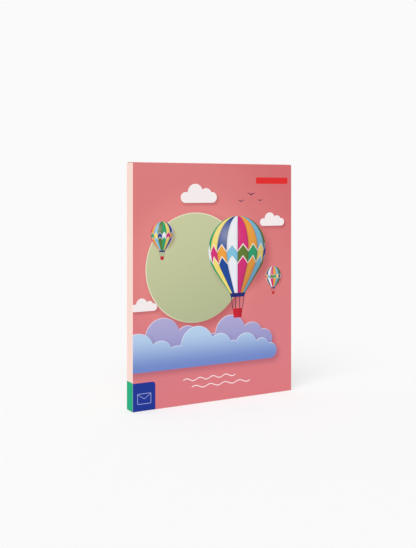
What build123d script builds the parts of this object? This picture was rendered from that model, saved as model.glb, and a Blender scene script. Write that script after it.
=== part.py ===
from build123d import *
import os

# The closed carton that a press-out greeting card is sold in, one sheet of printed boxboard.
# Front, left side, back and right side wrap round the contents, and a tab at the back's right edge is glued
# inside the right side panel. At each end the two side panels' dust flaps fold in first. The end panel,
# hinged on the front, then covers them, and its lip is tucked in behind the back panel and glued.
# The pack is sealed and can't be seen into, so the sheet and what it holds are one solid.
# The origin is under the middle of the pack: +X is the front's right, -Y is the front and +Z is up.

# Driving dimensions, in millimetres
front_width = 135.0  # across the front, outside both side panels
front_height = 175.0  # from the outside of one end panel to the outside of the other
pack_depth = 10.0  # from the front panel's face to the back panel's face
board_thickness = 0.45  # the boxboard
fold_radius = 0.5  # outside radius of a creased fold
end_side_gap = 0.8  # an end panel is cut this far inside each side panel's face
bottom_fold_drop = 0.2  # standing has pressed the bottom end panel to this far outside its dust flaps' folds
lip_gap = 0.2  # slit between a tucked-in lip and the back panel
seam_setback = 0.4  # the glued side panel's cut edge stops this far short of the back panel's face

# Faces of the pack, measured from the origin
right_face = front_width / 2
front_face = -pack_depth / 2
back_face = pack_depth / 2
back_inner_face = back_face - board_thickness
lip_face = back_inner_face - lip_gap


def block(low, high):
    """A rectangle from its lower left corner to its upper right corner."""
    return Pos(*low) * Rectangle(high[0] - low[0], high[1] - low[1], align=Align.MIN)


def sleeve():
    """The four wrapped panels, with three folds and the glued seam at the back's right corner."""
    tube = RectangleRounded(front_width - board_thickness, pack_depth, fold_radius)
    side_panel = block((0, front_face), (right_face, back_face - seam_setback))
    front_fold = side_panel.vertices().group_by(Axis.Y)[0].sort_by(Axis.X)[-1]
    section = Pos(-board_thickness / 2, 0) * tube + fillet(front_fold, fold_radius)
    return extrude(section, front_height)


def hinge_fold():
    """What the crease between the front and the top end panel leaves outside it, seen from the side."""
    crease = (front_face + fold_radius, front_height - fold_radius)
    corner = block((front_face - fold_radius, crease[1]), (crease[0], front_height + fold_radius))
    return extrude(Plane.YZ * (corner - Pos(*crease) * Circle(fold_radius)), front_width, both=True)


def lip_slit():
    """The slit where the top end panel turns in behind the back panel's cut edge, seen from the side."""
    crease = (lip_face - fold_radius, front_height - fold_radius)
    slit = block(crease, (back_inner_face, front_height + fold_radius))
    return extrude(Plane.YZ * (slit - Pos(*crease) * Circle(fold_radius)), front_width, both=True)


def dust_flap_fold(fold_drop):
    """What lies outside the right dust flap's crease at the top, and outside the flap up to the end panel.

    The crease is fold_drop below the end panel's face, and the flap dips from it to lie under the panel.
    """
    fold_top = front_height - fold_drop
    crease = (right_face - fold_radius, fold_top - fold_radius)
    panel_edge = (right_face - end_side_gap, front_height - board_thickness)
    outside = (right_face + end_side_gap, front_height + end_side_gap)
    above_flap = Polygon(
        panel_edge, (crease[0], fold_top), (outside[0], fold_top), outside, (panel_edge[0], outside[1])
    )
    corner = block(crease, (outside[0], fold_top)) - Pos(*crease) * Circle(fold_radius)
    return extrude(Plane.XZ * (above_flap + corner), pack_depth, both=True)


def end_folds(fold_drop):
    """What folding the top end shut takes off the sleeve: hinge, lip and both dust flaps."""
    right_fold = dust_flap_fold(fold_drop)
    return [hinge_fold(), lip_slit(), right_fold, mirror(right_fold, about=Plane.YZ)]


def carton():
    """The sleeve, with both ends folded shut. The top end panel lies flat on its dust flaps."""
    half_height = Plane.XY.offset(front_height / 2)
    bottom_end = [mirror(cut, about=half_height) for cut in end_folds(bottom_fold_drop)]
    return sleeve() - end_folds(board_thickness) - bottom_end


os.makedirs("parts", exist_ok=True)
export_step(carton(), "parts/carton.step")
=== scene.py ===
import math

import bmesh
import bpy
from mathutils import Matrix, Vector


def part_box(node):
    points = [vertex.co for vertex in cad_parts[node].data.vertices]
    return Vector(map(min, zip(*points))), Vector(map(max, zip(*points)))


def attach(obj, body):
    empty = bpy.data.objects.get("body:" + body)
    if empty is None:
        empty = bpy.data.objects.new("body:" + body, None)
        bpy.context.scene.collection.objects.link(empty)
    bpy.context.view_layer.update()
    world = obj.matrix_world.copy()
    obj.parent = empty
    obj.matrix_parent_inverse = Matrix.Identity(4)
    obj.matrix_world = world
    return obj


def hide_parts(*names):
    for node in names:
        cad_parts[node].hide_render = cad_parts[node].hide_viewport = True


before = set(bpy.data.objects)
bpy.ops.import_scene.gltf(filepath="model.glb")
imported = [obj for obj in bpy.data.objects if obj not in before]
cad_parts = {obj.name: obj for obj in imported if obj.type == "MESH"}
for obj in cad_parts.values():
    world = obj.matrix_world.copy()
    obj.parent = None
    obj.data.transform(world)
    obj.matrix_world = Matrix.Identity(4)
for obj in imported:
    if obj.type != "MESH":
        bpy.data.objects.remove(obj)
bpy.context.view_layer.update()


# The carton is one sheet of recycled boxboard, printed, creased, folded round its contents and glued shut.
# The right side panel is glued over a tab of the back. At each end a panel hinged on the front covers two
# dust flaps that fold in from the sides, and its lip is tucked in behind the back panel's cut edge.
mm = 0.001
low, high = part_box("carton")
left, front = low.x, low.y
right, back, height = high
board_thickness = 0.45 * mm
fold_radius = 0.5 * mm
end_side_gap = 0.8 * mm
bottom_fold_drop = 0.2 * mm
lip_gap = 0.2 * mm
seam_setback = 0.4 * mm

tab_face = right - board_thickness
seam_edge = back - seam_setback
panel_edge = right - end_side_gap
flap_top = height - board_thickness
back_inner = back - board_thickness
lip_face = back_inner - lip_gap
crease_top = height - fold_radius
fold_steps = 8


def fold(across, along, start, turn=90.0):
    """The outer curve of a crease round its centre, anticlockwise from start, in degrees."""
    angles = [math.radians(start + turn * step / fold_steps) for step in range(fold_steps + 1)]
    return [(across + fold_radius * math.cos(a), along + fold_radius * math.sin(a)) for a in angles]


def block(name, outline, corner, reach):
    """A closed block of one outline. corner(a, b, c) puts an outline point (a, b) at c along the block."""
    count = len(outline)
    points = [corner(a, b, c) for c in (-reach, reach) for a, b in outline]
    ring = [(i, (i + 1) % count) for i in range(count)]
    ends = [tuple(range(count)), tuple(range(count, 2 * count))]
    mesh = bpy.data.meshes.new(name)
    mesh.from_pydata(points, [], ends + [(i, j, count + j, count + i) for i, j in ring])
    shape = bmesh.new()
    shape.from_mesh(mesh)
    bmesh.ops.recalc_face_normals(shape, faces=shape.faces)
    shape.to_mesh(mesh)
    shape.free()
    piece = bpy.data.objects.new(name, mesh)
    bpy.context.scene.collection.objects.link(piece)
    return piece


# Plan of the wrapped panels, with the glued side panel's cut edge beside the fold of the tab
tab_shows_from = math.degrees(math.asin((fold_radius - seam_setback) / fold_radius))
plan = (
    fold(left + fold_radius, front + fold_radius, 180)
    + fold(right - fold_radius, front + fold_radius, 270)
    + [(right, seam_edge)]
    + fold(tab_face - fold_radius, back - fold_radius, tab_shows_from, 90 - tab_shows_from)
    + fold(left + fold_radius, back - fold_radius, 90)
)

# Front view, with each end panel between the dust flaps, which dip from their folds to lie under it
front_view = (
    [(-panel_edge, 0.0), (panel_edge, 0.0), (panel_edge, board_thickness)]
    + fold(right - fold_radius, bottom_fold_drop + fold_radius, 270)
    + fold(right - fold_radius, flap_top - fold_radius, 0)
    + [(panel_edge, flap_top), (panel_edge, height), (-panel_edge, height), (-panel_edge, flap_top)]
    + fold(left + fold_radius, flap_top - fold_radius, 90)
    + fold(left + fold_radius, bottom_fold_drop + fold_radius, 180)
    + [(-panel_edge, board_thickness)]
)

# Side view, with each end panel's hinge at the front and its lip behind the back panel
side_view = (
    fold(front + fold_radius, fold_radius, 180)
    + fold(lip_face - fold_radius, fold_radius, 270)
    + [(back_inner, fold_radius), (back_inner, 0.0), (back, 0.0)]
    + [(back, height), (back_inner, height), (back_inner, crease_top)]
    + fold(lip_face - fold_radius, crease_top, 0)
    + fold(front + fold_radius, crease_top, 90)
)

# The folded sheet is what the three outlines have in common
wrapped = block("wrapped_panels", plan, lambda x, y, z: (x, y, z), 2 * height)
views = [
    block("front_view", front_view, lambda x, z, y: (x, y, z), 2 * back),
    block("side_view", side_view, lambda y, z, x: (x, y, z), 2 * right),
]
for view in views:
    common = wrapped.modifiers.new(view.name, "BOOLEAN")
    common.operation = "INTERSECT"
    common.solver = "EXACT"
    common.object = view
sheet_mesh = bpy.data.meshes.new_from_object(wrapped.evaluated_get(bpy.context.evaluated_depsgraph_get()))
sheet_mesh.name = "folded_sheet"
for helper in [wrapped, *views]:
    bpy.data.objects.remove(helper)

doubled_within = 0.01 * mm
flat_within = math.radians(1)
sharp_from = math.radians(30)
shape = bmesh.new()
shape.from_mesh(sheet_mesh)
bmesh.ops.remove_doubles(shape, verts=shape.verts, dist=doubled_within)
bmesh.ops.dissolve_limit(shape, angle_limit=flat_within, verts=shape.verts, edges=shape.edges)
shape.to_mesh(sheet_mesh)
shape.free()
sheet_mesh.polygons.foreach_set("use_smooth", [True] * len(sheet_mesh.polygons))
sheet_mesh.set_sharp_from_angle(angle=sharp_from)
sheet = bpy.data.objects.new("folded_sheet", sheet_mesh)
bpy.context.scene.collection.objects.link(sheet)
flat_panels = sheet.modifiers.new("flat_panels", "WEIGHTED_NORMAL")
flat_panels.keep_sharp = True
flat_panels.weight = 100
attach(sheet, "root")
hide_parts("carton")


# The board is pressed from plies of recycled fibre. Where the sheet is cut, its core shows: grey-brown, rough
# and flecked. Its faces are smoothed for printing and keep a fine tooth. One node group grains both finishes.
class Ink:
    """A value that varies over the sheet. Arithmetic on it adds Math nodes to the node tree that it is in."""

    def __init__(self, socket):
        self.socket = socket

    def math(self, operation, *others):
        node = self.socket.id_data.nodes.new("ShaderNodeMath")
        node.operation = operation
        for slot, value in zip(node.inputs, (self, *others)):
            feed(slot, value)
        return Ink(node.outputs[0])

    def least(self, other):
        return self.math("MINIMUM", other)

    def most(self, other):
        return self.math("MAXIMUM", other)

    def __add__(self, other):
        return self.math("ADD", other)

    def __sub__(self, other):
        return self.math("SUBTRACT", other)

    def __rsub__(self, other):
        return self * -1.0 + other

    def __mul__(self, other):
        return self.math("MULTIPLY", other)

    def __truediv__(self, other):
        return self.math("DIVIDE", other)

    def __lt__(self, other):
        return self.math("LESS_THAN", other)

    def __gt__(self, other):
        return self.math("GREATER_THAN", other)

    def __abs__(self):
        return self.math("ABSOLUTE")

    __radd__ = __add__
    __rmul__ = __mul__


def feed(slot, value):
    """Links a varying value or colour to a node's input, or sets a constant on it."""
    source = value.socket if isinstance(value, Ink) else value
    if isinstance(source, bpy.types.NodeSocket):
        slot.id_data.links.new(source, slot)
    else:
        slot.default_value = source


def soft_step(value, start, end):
    """0 up to start, 1 from end on, and a smooth rise between them."""
    node = value.socket.id_data.nodes.new("ShaderNodeMapRange")
    node.interpolation_type = "SMOOTHSTEP"
    feed(node.inputs["Value"], value)
    feed(node.inputs["From Min"], start)
    feed(node.inputs["From Max"], end)
    return Ink(node.outputs["Result"])


def paint(share, under, over):
    """A colour that goes from under to over as share goes from 0 to 1."""
    node = share.socket.id_data.nodes.new("ShaderNodeMix")
    node.data_type = "RGBA"
    factor, first, second = node.inputs[0], node.inputs[6], node.inputs[7]
    feed(factor, share)
    feed(first, under)
    feed(second, over)
    return node.outputs[2]


def srgb(red, green, blue):
    """A colour as it looks in print, each part from 0 to 255, as the linear colour that a node takes."""
    parts = [part / 255 for part in (red, green, blue)]
    return (*[p / 12.92 if p <= 0.04045 else ((p + 0.055) / 1.055) ** 2.4 for p in parts], 1.0)


def new_group(name, inputs, outputs, input_kind="NodeSocketFloat"):
    """A shader node group. Returns it, its inputs by name and the node that takes its outputs."""
    group = bpy.data.node_groups.new(name, "ShaderNodeTree")
    for label in inputs:
        group.interface.new_socket(label, in_out="INPUT", socket_type=input_kind)
    for label, kind in outputs.items():
        group.interface.new_socket(label, in_out="OUTPUT", socket_type=kind)
    source = group.nodes.new("NodeGroupInput")
    result = group.nodes.new("NodeGroupOutput")
    return group, {label: Ink(source.outputs[label]) for label in inputs}, result


def use_group(tree, group, **values):
    """Puts a node group into a node tree. In an input's name here, _ stands for a space."""
    node = tree.nodes.new("ShaderNodeGroup")
    node.node_tree = group
    for label, value in values.items():
        feed(node.inputs[label.replace("_", " ")], value)
    return node


board_grain, at, result = new_group(
    "Board grain",
    ["Place"],
    {"Tooth": "NodeSocketFloat", "Fibre": "NodeSocketFloat", "Fleck": "NodeSocketFloat"},
    input_kind="NodeSocketVector",
)


def grain_noise(spots_per_mm, stretch=(1.0, 1.0, 1.0), detail=2.0):
    """Noise in the board. A stretch under 1 draws its spots out along that axis."""
    drawn_out = board_grain.nodes.new("ShaderNodeMapping")
    feed(drawn_out.inputs["Vector"], at["Place"])
    drawn_out.inputs["Scale"].default_value = stretch
    noise = board_grain.nodes.new("ShaderNodeTexNoise")
    noise.inputs["Scale"].default_value = spots_per_mm
    noise.inputs["Detail"].default_value = detail
    feed(noise.inputs["Vector"], drawn_out.outputs["Vector"])
    return Ink(noise.outputs["Fac"])


fibre = grain_noise(spots_per_mm=2.4, stretch=(0.3, 1.0, 1.0))
pits = grain_noise(spots_per_mm=3.5, detail=3.0)
flecks = grain_noise(spots_per_mm=1.8, stretch=(0.7, 1.0, 1.0))
fibre_share = 0.35
fleck_from, fleck_full = 0.58, 0.68
feed(result.inputs["Fibre"], fibre)
feed(result.inputs["Tooth"], pits * (1 - fibre_share) + fibre * fibre_share)
feed(result.inputs["Fleck"], soft_step(flecks, fleck_from, fleck_full))


def board_finish(name, smoothest, roughest, tooth_depth):
    """A finish of the board that still needs its colour, with roughness and bump from the grain.

    Returns the material, its shader, the place on the sheet in millimetres and the grain's node.
    """
    material = bpy.data.materials.new(name)
    material.use_nodes = True
    tree = material.node_tree
    shader = tree.nodes["Principled BSDF"]
    on_sheet = tree.nodes.new("ShaderNodeTexCoord")
    in_mm = tree.nodes.new("ShaderNodeMapping")
    in_mm.inputs["Scale"].default_value = (1 / mm, 1 / mm, 1 / mm)
    feed(in_mm.inputs["Vector"], on_sheet.outputs["Object"])
    grain = use_group(tree, board_grain, Place=in_mm.outputs["Vector"])
    tooth = Ink(grain.outputs["Tooth"])
    bump = tree.nodes.new("ShaderNodeBump")
    bump.inputs["Distance"].default_value = tooth_depth
    feed(bump.inputs["Height"], tooth)
    feed(shader.inputs["Normal"], bump.outputs["Normal"])
    feed(shader.inputs["Roughness"], tooth * (roughest - smoothest) + smoothest)
    return material, shader, in_mm.outputs["Vector"], grain


core, core_shader, _, core_grain = board_finish(
    "board_core", smoothest=0.75, roughest=1.0, tooth_depth=0.06 * mm
)
core_shader.inputs["Specular IOR Level"].default_value = 0.2
dark_fibre, pale_fibre, dark_fleck = srgb(148, 114, 100), srgb(196, 164, 150), srgb(92, 76, 70)
fleck_strength = 0.6
core_colour = paint(Ink(core_grain.outputs["Fibre"]), dark_fibre, pale_fibre)
core_colour = paint(Ink(core_grain.outputs["Fleck"]) * fleck_strength, core_colour, dark_fleck)
feed(core_shader.inputs["Base Color"], core_colour)


# The front's picture, offset printed, is drawn like layers of cut paper: a pale green sun, banks of cloud and
# three hot-air balloons over a coral ground, each layer with its soft shadow. Most motifs are node groups,
# measured in millimetres from the front's lower left corner, and a distance is below zero inside its motif.
print_blur = 0.06


def reach_from(across, up):
    return (across * across + up * up).math("SQRT")


def inside(shape_distance, blur=print_blur):
    """1 inside a shape and 0 outside it, with a soft edge."""
    return 1.0 - soft_step(shape_distance, -blur, blur)


cloud, at, result = new_group(
    "Cloud", ["Across", "Up", "Middle", "Foot", "Size"], {"Distance": "NodeSocketFloat"}
)
x = (at["Across"] - at["Middle"]) / at["Size"]
y = (at["Up"] - at["Foot"]) / at["Size"]
foot_radius, foot_reach = 0.26, 0.74
cloud_shape = reach_from((abs(x) - foot_reach).most(0.0), y - foot_radius) - foot_radius
for puff_across, puff_up, puff_radius in [(-0.2, 0.5, 0.42), (0.4, 0.4, 0.31)]:
    cloud_shape = cloud_shape.least(reach_from(x - puff_across, y - puff_up) - puff_radius)
feed(result.inputs["Distance"], cloud_shape * at["Size"])

plate, at, result = new_group(
    "Plate", ["Across", "Up", "Left", "Right", "Bottom", "Top", "Corner"], {"Distance": "NodeSocketFloat"}
)
x = (at["Left"] - at["Across"]).most(at["Across"] - at["Right"]) + at["Corner"]
y = (at["Bottom"] - at["Up"]).most(at["Up"] - at["Top"]) + at["Corner"]
past_corner = reach_from(x.most(0.0), y.most(0.0)) + x.most(y).least(0.0)
feed(result.inputs["Distance"], past_corner - at["Corner"])

bird, at, result = new_group(
    "Bird", ["Across", "Up", "Middle", "Body", "Wing"], {"Distance": "NodeSocketFloat"}
)
x = abs(at["Across"] - at["Middle"]) / at["Wing"]
y = (at["Up"] - at["Body"]) / at["Wing"]
wing_rise, wing_droop, wing_thickness = 1.1, 0.8, 0.13
wing_line = x * (1.0 - x * wing_droop) * wing_rise
wing_half = (1.0 - x) * wing_thickness
feed(result.inputs["Distance"], (abs(y - wing_line) - wing_half) * at["Wing"])

breeze, at, result = new_group(
    "Breeze line", ["Across", "Up", "Start", "End", "Level", "Wave"], {"Distance": "NodeSocketFloat"}
)
wave_height, half_stroke = 0.9, 0.34
swing = ((at["Across"] - at["Start"]) / at["Wave"] * math.tau).math("SINE") * wave_height
past_ends = (at["Start"] - at["Across"]).most(at["Across"] - at["End"])
feed(result.inputs["Distance"], (abs(at["Up"] - at["Level"] - swing) - half_stroke).most(past_ends))

# A balloon's heights and widths are shares of its radius, from the middle of its round part
balloon, at, result = new_group(
    "Balloon",
    ["Across", "Up", "Middle", "Level", "Radius", "First Colour"],
    {"Colour": "NodeSocketColor", "Cover": "NodeSocketFloat"},
)
x = (at["Across"] - at["Middle"]) / at["Radius"]
y = (at["Up"] - at["Level"]) / at["Radius"]
cone_from, mouth, mouth_half = -0.6, -1.3, 0.275
cone_half = math.sqrt(1 - cone_from**2)
is_cone = y < cone_from
is_round = 1.0 - is_cone
ball = reach_from(x, y) - 1.0
cone = abs(x) * cone_half + y * cone_from - 1.0
envelope = (is_round * ball + is_cone * cone).most(mouth - y)
cloth_cover = inside(envelope * at["Radius"])

half = is_round * (1.0 - y * y).most(0.0).math("SQRT") + is_cone * (1.0 - y * cone_from) / cone_half
narrowest, just_inside = 0.001, 0.999
side = (x / half.most(narrowest)).most(-just_inside).least(just_inside)
gore_colours = [
    srgb(46, 165, 112),
    srgb(243, 222, 120),
    srgb(32, 74, 152),
    srgb(236, 238, 246),
    srgb(214, 52, 120),
    srgb(240, 164, 66),
    srgb(128, 194, 222),
    srgb(98, 124, 52),
]
gore_count = len(gore_colours)
gores_across = (side.math("ARCSINE") / math.pi + 0.5) * gore_count
gore_number = gores_across.math("FLOOR")
off_middle = abs((gores_across - gore_number) * 2.0 - 1.0)


def gore_colour(skip):
    """The colour of each gore, skip places on from the balloon's first colour."""
    node = balloon.nodes.new("ShaderNodeValToRGB")
    node.color_ramp.interpolation = "CONSTANT"
    stops = node.color_ramp.elements
    while len(stops) < gore_count:
        stops.new(1.0)
    for number, (stop, colour) in enumerate(zip(stops, gore_colours)):
        stop.position = number / gore_count
        stop.color = colour
    turn = (gore_number + at["First Colour"] + skip).math("FLOORED_MODULO", float(gore_count))
    feed(node.inputs["Fac"], (turn + 0.5) / gore_count)
    return node.outputs["Color"]


band_bottom, band_top, half_trim, zigzag_height = -0.2, 0.16, 0.022, 0.22
zigzag = y + off_middle * zigzag_height
trim = (abs(zigzag - band_top) < half_trim).most(abs(zigzag - band_bottom) < half_trim)
cloth = paint((zigzag > band_bottom) * (zigzag < band_top), gore_colour(0), gore_colour(3))
cloth = paint(trim, cloth, srgb(250, 240, 228))
seam_from, seam_strength = 0.55, 0.22
light_tilt, dusk_full, dusk_strength = 0.35, 1.3, 0.4
seam_shade = soft_step(off_middle, seam_from, 1.0) * seam_strength
dusk_shade = soft_step(side - y * light_tilt, 0.0, dusk_full) * dusk_strength
cloth = paint(seam_shade + dusk_shade, cloth, srgb(60, 24, 62))
gleam_across, gleam_up, gleam_radius, gleam_strength = -0.38, 0.45, 0.28, 0.22
gleam = inside(reach_from(x - gleam_across, y - gleam_up) - gleam_radius, gleam_radius)
cloth = paint(gleam * gleam_strength, cloth, srgb(255, 250, 240))

skirt_foot, skirt_flare = -1.42, 0.35
skirt = (abs(x) < (y - mouth) * skirt_flare + mouth_half) * (y < mouth) * (y > skirt_foot)
basket_top, basket_foot, basket_half, basket_flare = -1.76, -2.04, 0.17, 0.12
basket = (abs(x) < (y - basket_top) * basket_flare + basket_half) * (y < basket_top) * (y > basket_foot)
half_rope, rope_spread, inner_foot = 0.012, 0.15, 0.074
outer_rope = abs(abs(x) - ((y - basket_top) * rope_spread + basket_half)) < half_rope
inner_rope = abs(abs(x) - inner_foot) < half_rope
ropes = outer_rope.most(inner_rope) * (y < skirt_foot) * (y > basket_top)
weave_turns, weave_level, weave_strength = 90.0, 0.1, 0.35
weave = ((y * weave_turns).math("SINE") > weave_level) * weave_strength
far_from, far_full, far_strength = -0.05, 0.2, 0.3
weave = weave + soft_step(x, far_from, far_full) * far_strength
rope_plum, wicker, dark_wicker = srgb(70, 40, 70), srgb(214, 38, 56), srgb(110, 14, 34)
picture = paint(basket, rope_plum, paint(weave, wicker, dark_wicker))
picture = paint(skirt, picture, srgb(36, 44, 112))
feed(result.inputs["Colour"], paint(cloth_cover, picture, cloth))
feed(result.inputs["Cover"], cloth_cover.most(ropes).most(basket).most(skirt))

front_picture, at, result = new_group("Front picture", ["Across", "Up"], {"Colour": "NodeSocketColor"})
across, up = at["Across"], at["Up"]


def motif(group, shift=(0.0, 0.0), **sizes):
    """A motif's node on the front, moved to the right and up by shift."""
    return use_group(front_picture, group, Across=across - shift[0], Up=up - shift[1], **sizes)


def shape_of(*nodes):
    """The distance to the nearest of some motifs."""
    nearest = Ink(nodes[0].outputs["Distance"])
    for node in nodes[1:]:
        nearest = nearest.least(Ink(node.outputs["Distance"]))
    return nearest


sun_across, sun_up, sun_radius = 50.0, 99.0, 40.0
sun = reach_from(across - sun_across, up - sun_up) - sun_radius

# The ground is pinker at its foot, darkens to the upper right corner and is lighter round the sun
coral, pink_coral = srgb(220, 126, 127), srgb(220, 126, 132)
corner_coral, glow_coral = srgb(211, 109, 113), srgb(231, 137, 136)
pink_up_to, coral_from = 55.0, 85.0
picture = paint(soft_step(up, pink_up_to, coral_from), pink_coral, coral)
corner_from, corner_full, corner_strength = 215.0, 300.0, 0.9
picture = paint(soft_step(across + up, corner_from, corner_full) * corner_strength, picture, corner_coral)
glow_reach, glow_strength = 12.0, 0.7
picture = paint(inside(sun - glow_reach, glow_reach) * glow_strength, picture, glow_coral)

shadow_red = srgb(136, 38, 56)
sun_drop, sun_spread, sun_shadow_strength = 4.0, 7.0, 0.55
sun_shadow = reach_from(across - sun_across - sun_drop, up - sun_up + sun_drop) - sun_radius
picture = paint(inside(sun_shadow, sun_spread) * sun_shadow_strength, picture, shadow_red)
low_green, high_green, rim_green = srgb(178, 186, 146), srgb(200, 204, 161), srgb(228, 228, 196)
pale_slant, pale_from, pale_full = 0.4, 20.0, 125.0
sun_face = paint(soft_step(up - across * pale_slant, pale_from, pale_full), low_green, high_green)
rim_from, rim_full, lit_from, lit_full = -0.9, -0.6, -10.0, 60.0
lit_rim = soft_step(sun, rim_from, rim_full) * soft_step(up - across, lit_from, lit_full)
picture = paint(inside(sun), picture, paint(lit_rim, sun_face, rim_green))


def lay_clouds(below, clouds, face, shadow, drop, spread):
    """A layer of clouds on the picture: their soft shadow, their faces and the lit edge of the paper."""
    shadow_slant, shadow_strength = 0.8, 0.42
    edge_across, edge_down, edge_strength = 0.3, 0.4, 0.6

    def moved(shift_across, shift_up):
        shift = (shift_across, shift_up)
        return shape_of(*[motif(cloud, shift, Middle=a, Foot=u, Size=size) for a, u, size in clouds])

    shape_cover = inside(moved(0.0, 0.0))
    shadow_cover = inside(moved(shadow_slant * drop, -drop), spread)
    lit_edge = shape_cover * (1.0 - inside(moved(edge_across, -edge_down)))
    below = paint(shadow_cover * shadow_strength, below, shadow)
    below = paint(shape_cover, below, face)
    return paint(lit_edge * edge_strength, below, srgb(255, 252, 250))


# Each cloud's middle across, foot up and size
sky_clouds = [(53.0, 146.0, 15.0), (117.0, 128.0, 11.0), (9.0, 70.0, 10.0)]
far_foot, far_top = 34.0, 66.0
far_clouds = [(30.0, far_foot, 33.0), (86.0, far_foot, 31.0)]
near_foot, near_top = 27.0, 54.0
near_clouds = [(10.0, near_foot, 30.0), (58.0, near_foot, 32.0), (98.0, near_foot, 23.0)]
shadow_plum = srgb(104, 54, 96)
lilac = paint(soft_step(up, far_foot, far_top), srgb(148, 148, 202), srgb(176, 172, 215))
pale_blue = paint(soft_step(up, near_foot, near_top), srgb(114, 138, 203), srgb(182, 209, 237))
picture = lay_clouds(picture, sky_clouds, srgb(246, 238, 238), shadow_red, drop=1.5, spread=2.0)
picture = lay_clouds(picture, far_clouds, lilac, shadow_plum, drop=2.5, spread=4.0)
picture = lay_clouds(picture, near_clouds, pale_blue, shadow_plum, drop=2.5, spread=4.0)

# A balloon's shadow is moved and spread by shares of its radius
shadow_across, shadow_down, shadow_spread, shadow_strength = 0.16, 0.2, 0.2, 0.4

# Each balloon's middle across, level, radius and first colour
for a, u, radius, first in [(23.0, 124.0, 9.0, 4.0), (118.0, 90.0, 7.0, 1.0), (86.0, 111.0, 25.0, 0.0)]:
    shadow = reach_from(across - a - shadow_across * radius, up - u + shadow_down * radius) - radius
    picture = paint(inside(shadow, shadow_spread * radius) * shadow_strength, picture, shadow_red)
    node = motif(balloon, Middle=a, Level=u, Radius=radius, First_Colour=first)
    picture = paint(Ink(node.outputs["Cover"]), picture, node.outputs["Colour"])

flock = [(89.0, 146.5, 3.2), (98.0, 151.5, 4.0), (106.0, 147.0, 2.8)]
birds = shape_of(*[motif(bird, Middle=a, Body=u, Wing=wing) for a, u, wing in flock])
picture = paint(inside(birds), picture, srgb(40, 28, 76))
breeze_lines = shape_of(
    motif(breeze, Start=40.0, End=84.0, Level=18.0, Wave=11.0),
    motif(breeze, Start=47.0, End=97.0, Level=12.5, Wave=12.5),
)
picture = paint(inside(breeze_lines), picture, srgb(250, 236, 234))
red_plate = shape_of(motif(plate, Left=102.3, Right=131.2, Bottom=160.0, Top=164.8, Corner=0.7))
picture = paint(inside(red_plate), picture, srgb(227, 45, 46))

# The blue tag in the lower left corner, with a plain envelope drawn in line
beyond = -10.0
tag = shape_of(motif(plate, Left=beyond, Right=17.7, Bottom=beyond, Top=20.0, Corner=2.2))
picture = paint(inside(tag), picture, srgb(31, 55, 148))
envelope_middle, half_line = 9.0, 0.2
envelope = shape_of(motif(plate, Left=3.8, Right=14.2, Bottom=5.2, Top=12.3, Corner=0.5))
flap_tip, flap_slope = 8.6, 0.66
flap = abs(up - flap_tip - abs(across - envelope_middle) * flap_slope) - half_line
picture = paint(inside((abs(envelope) - half_line).least(flap.most(envelope))), picture, srgb(166, 176, 228))
feed(result.inputs["Colour"], picture)


# The printed face has the picture on the front, plain peach on the sides, ends and back, and a green field
# low on the left side, under a matt varnish. The folds stretch the ink, so their ridges are a little paler.
printed, print_shader, place, print_grain = board_finish(
    "printed_board", smoothest=0.5, roughest=0.66, tooth_depth=0.02 * mm
)
print_shader.inputs["Specular IOR Level"].default_value = 0.08
axes = printed.node_tree.nodes.new("ShaderNodeSeparateXYZ")
feed(axes.inputs["Vector"], place)
across = Ink(axes.outputs["X"]) - left / mm
deep = Ink(axes.outputs["Y"]) - front / mm
up = Ink(axes.outputs["Z"])
fold_end = fold_radius / mm
fold_middle = fold_end * (1 - math.cos(math.radians(45)))
green_top = 20.5
peach = srgb(252, 222, 212)
green_field = (across < fold_end) * inside(up - green_top)
colour = paint(green_field, peach, srgb(22, 176, 126))
picture_node = use_group(printed.node_tree, front_picture, Across=across, Up=up)
colour = paint(deep < fold_middle, colour, picture_node.outputs["Colour"])

# On a fold the point is near two faces of the carton, so the middle one of its three depths is small
depth_x = across.least((right - left) / mm - across)
depth_y = deep.least((back - front) / mm - deep)
depth_z = up.least(height / mm - up)
middle_depth = depth_x.least(depth_y).most(depth_x.most(depth_y).least(depth_z))
on_fold = 1.0 - soft_step(middle_depth, fold_middle, fold_end)
fibre = Ink(print_grain.outputs["Fibre"])
wear_strength, streak_strength = 0.4, 0.05
colour = paint(on_fold * fibre * wear_strength, colour, srgb(255, 246, 240))
colour = paint(fibre * streak_strength, colour, srgb(70, 30, 30))
feed(print_shader.inputs["Base Color"], colour)

# The core shows at the end panels' cut ends, round the lips' slits and at the glued side panel's edge
facing = 0.9
just_past = 0.05 * mm
sheet_mesh.materials.append(printed)
sheet_mesh.materials.append(core)
printed_number, core_number = 0, 1
for face in sheet_mesh.polygons:
    panel_end = abs(face.normal.x) > facing and abs(face.center.x) < panel_edge + just_past
    back_end = abs(face.normal.z) > facing and face.center.y > lip_face
    glued_edge = abs(face.normal.y) > facing and abs(face.center.y) < seam_edge + just_past
    face.material_index = core_number if panel_end or back_end or glued_edge else printed_number

# The map that both finishes are baked on, in pixels. The printed front and left side have the most of them to
# the millimetre, the plain panels have fewer, and each cut face has its own strip, drawn wider than it is.
map_pixels = 1024
sheet_map = sheet_mesh.uv_layers.new(name="OFBake")


def lay_on_map(faces, outward, upward, corner, scale, widening=1.0):
    """Lays faces on the map, seen square on, from a lower left corner. The scale is in pixels per mm."""
    rightward = upward.cross(outward) * widening
    places = {}
    for face in faces:
        for loop in face.loop_indices:
            point = sheet_mesh.vertices[sheet_mesh.loops[loop].vertex_index].co / mm
            places[loop] = Vector((point.dot(rightward), point.dot(upward))) * scale
    lowest = Vector([min(spot[axis] for spot in places.values()) for axis in range(2)])
    for loop, spot in places.items():
        sheet_map.data[loop].uv = (spot - lowest + Vector(corner)) / map_pixels


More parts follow.
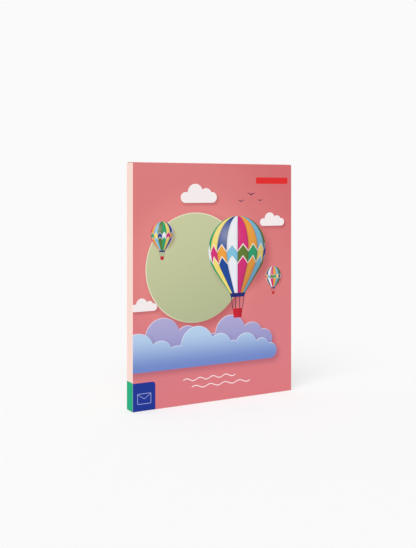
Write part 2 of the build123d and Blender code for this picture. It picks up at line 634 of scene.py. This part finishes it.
# Each panel's outward way, the way that is up on the map, its lower left corner there and its pixels per mm
ways = [Vector((1, 0, 0)), Vector((0, 1, 0)), Vector((0, 0, 1))]
to_right, to_back, to_top = ways
panels = {
    "front": (-to_back, to_top, (4, 4), 5.2),
    "left side": (-to_right, to_back, (4, 922), 5.2),
    "right side": (to_right, -to_back, (4, 982), 3.9),
    "back": (to_back, to_top, (714, 4), 2.2),
    "top end": (to_top, to_right, (714, 398), 3.8),
    "bottom end": (-to_top, to_right, (762, 398), 3.8),
}


def panel_of(face):
    """The panel that a printed face lies on. A lip's fold goes with its end panel."""
    outward = face.normal.copy()
    if face.center.y < lip_face:
        outward.y = min(outward.y, 0.0)
    return max(panels, key=lambda name: outward.dot(panels[name][0]))


printed_faces = [face for face in sheet_mesh.polygons if face.material_index == printed_number]
cut_faces = [face for face in sheet_mesh.polygons if face.material_index == core_number]
for name, place_on_map in panels.items():
    lay_on_map([face for face in printed_faces if panel_of(face) == name], *place_on_map)

strips_left, strips_bottom, strip_pitch = 812, 398, 6.6
for number, face in enumerate(cut_faces):
    points = [sheet_mesh.vertices[index].co for index in face.vertices]
    longest = max(ways, key=lambda way: max(p.dot(way) for p in points) - min(p.dot(way) for p in points))
    corner = (strips_left + strip_pitch * number, strips_bottom)
    lay_on_map([face], face.normal, longest, corner, scale=2.9, widening=3.0)


# The studio is a plain near-white floor that runs on past the view, under an even white sky. One soft sun
# from the front left lights the front and the left side alike and leaves a soft shadow behind the carton.
# To the camera, half of the floor's white is its own light, so that the shadow stays faint.
def in_picture(tree):
    """1 on the rays that show a surface in the picture: the camera's own and those of gloss and glass."""
    ray = tree.nodes.new("ShaderNodeLightPath")
    kinds = ("Camera", "Glossy", "Transmission")
    straight, glossy, through = [Ink(ray.outputs[f"Is {kind} Ray"]) for kind in kinds]
    return straight.most(glossy).most(through)


studio_white = srgb(250, 250, 250)
floor_reach = 60.0
floor_level = -0.02 * mm  # a hair under the carton, so that the two don't share a plane
corners = [(-floor_reach, -floor_reach, floor_level), (floor_reach, -floor_reach, floor_level)]
corners += [(floor_reach, floor_reach, floor_level), (-floor_reach, floor_reach, floor_level)]
floor_mesh = bpy.data.meshes.new("floor")
floor_mesh.from_pydata(corners, [], [(0, 1, 2, 3)])
floor = bpy.data.objects.new("floor", floor_mesh)
bpy.context.scene.collection.objects.link(floor)
floor_paint = bpy.data.materials.new("studio_floor")
floor_paint.use_nodes = True
floor_shader = floor_paint.node_tree.nodes["Principled BSDF"]
floor_shader.inputs["Roughness"].default_value = 1.0
floor_shader.inputs["Specular IOR Level"].default_value = 0.0
own_share = 0.5
own_light = in_picture(floor_paint.node_tree) * own_share
feed(floor_shader.inputs["Base Color"], paint(own_light, studio_white, srgb(0, 0, 0)))
floor_shader.inputs["Emission Color"].default_value = studio_white
feed(floor_shader.inputs["Emission Strength"], own_light)
floor_mesh.materials.append(floor_paint)

world = bpy.data.worlds.new("studio")
world.use_nodes = True
bpy.context.scene.world = world
sky_nodes = world.node_tree.nodes
sky_light = sky_nodes["Background"]
sky_light.inputs["Color"].default_value = (1.0, 1.0, 1.0, 1.0)
sky_light.inputs["Strength"].default_value = 0.55
sky_seen = sky_nodes.new("ShaderNodeBackground")
sky_seen.inputs["Color"].default_value = studio_white
sky = sky_nodes.new("ShaderNodeMixShader")
feed(sky.inputs[0], in_picture(world.node_tree))
feed(sky.inputs[1], sky_light.outputs["Background"])
feed(sky.inputs[2], sky_seen.outputs["Background"])
feed(sky_nodes["World Output"].inputs["Surface"], sky.outputs["Shader"])

sun_lamp = bpy.data.lights.new("soft_sun", "SUN")
sun_lamp.energy = 1.79
sun_lamp.angle = math.radians(40)
soft_sun = bpy.data.objects.new("soft_sun", sun_lamp)
sun_slant, sun_turn = math.radians(38), math.radians(-45)
soft_sun.rotation_euler = (sun_slant, 0.0, sun_turn)
bpy.context.scene.collection.objects.link(soft_sun)
bpy.context.scene.view_settings.view_transform = "Standard"


# The camera stands level, a little below the carton's top and to the left of its front, as in the photograph.
# Its lens and shift follow from the focal length and the horizon's row in the photograph, in its pixels.
photo_height = 548
focal_pixels = 855.1
horizon_row = 188.8
view_turn = math.radians(29.65)
camera_data = bpy.data.cameras.new("camera")
camera_data.lens = camera_data.sensor_width * focal_pixels / photo_height
camera_data.shift_y = (horizon_row - photo_height / 2) / photo_height
camera = bpy.data.objects.new("camera", camera_data)
to_the_left, before_front, above_floor = 316.8 * mm, 544.3 * mm, 156.2 * mm
camera.location = (-to_the_left, front - before_front, above_floor)
camera.rotation_euler = (math.radians(90), 0.0, -view_turn)
bpy.context.scene.collection.objects.link(camera)
bpy.context.scene.camera = camera
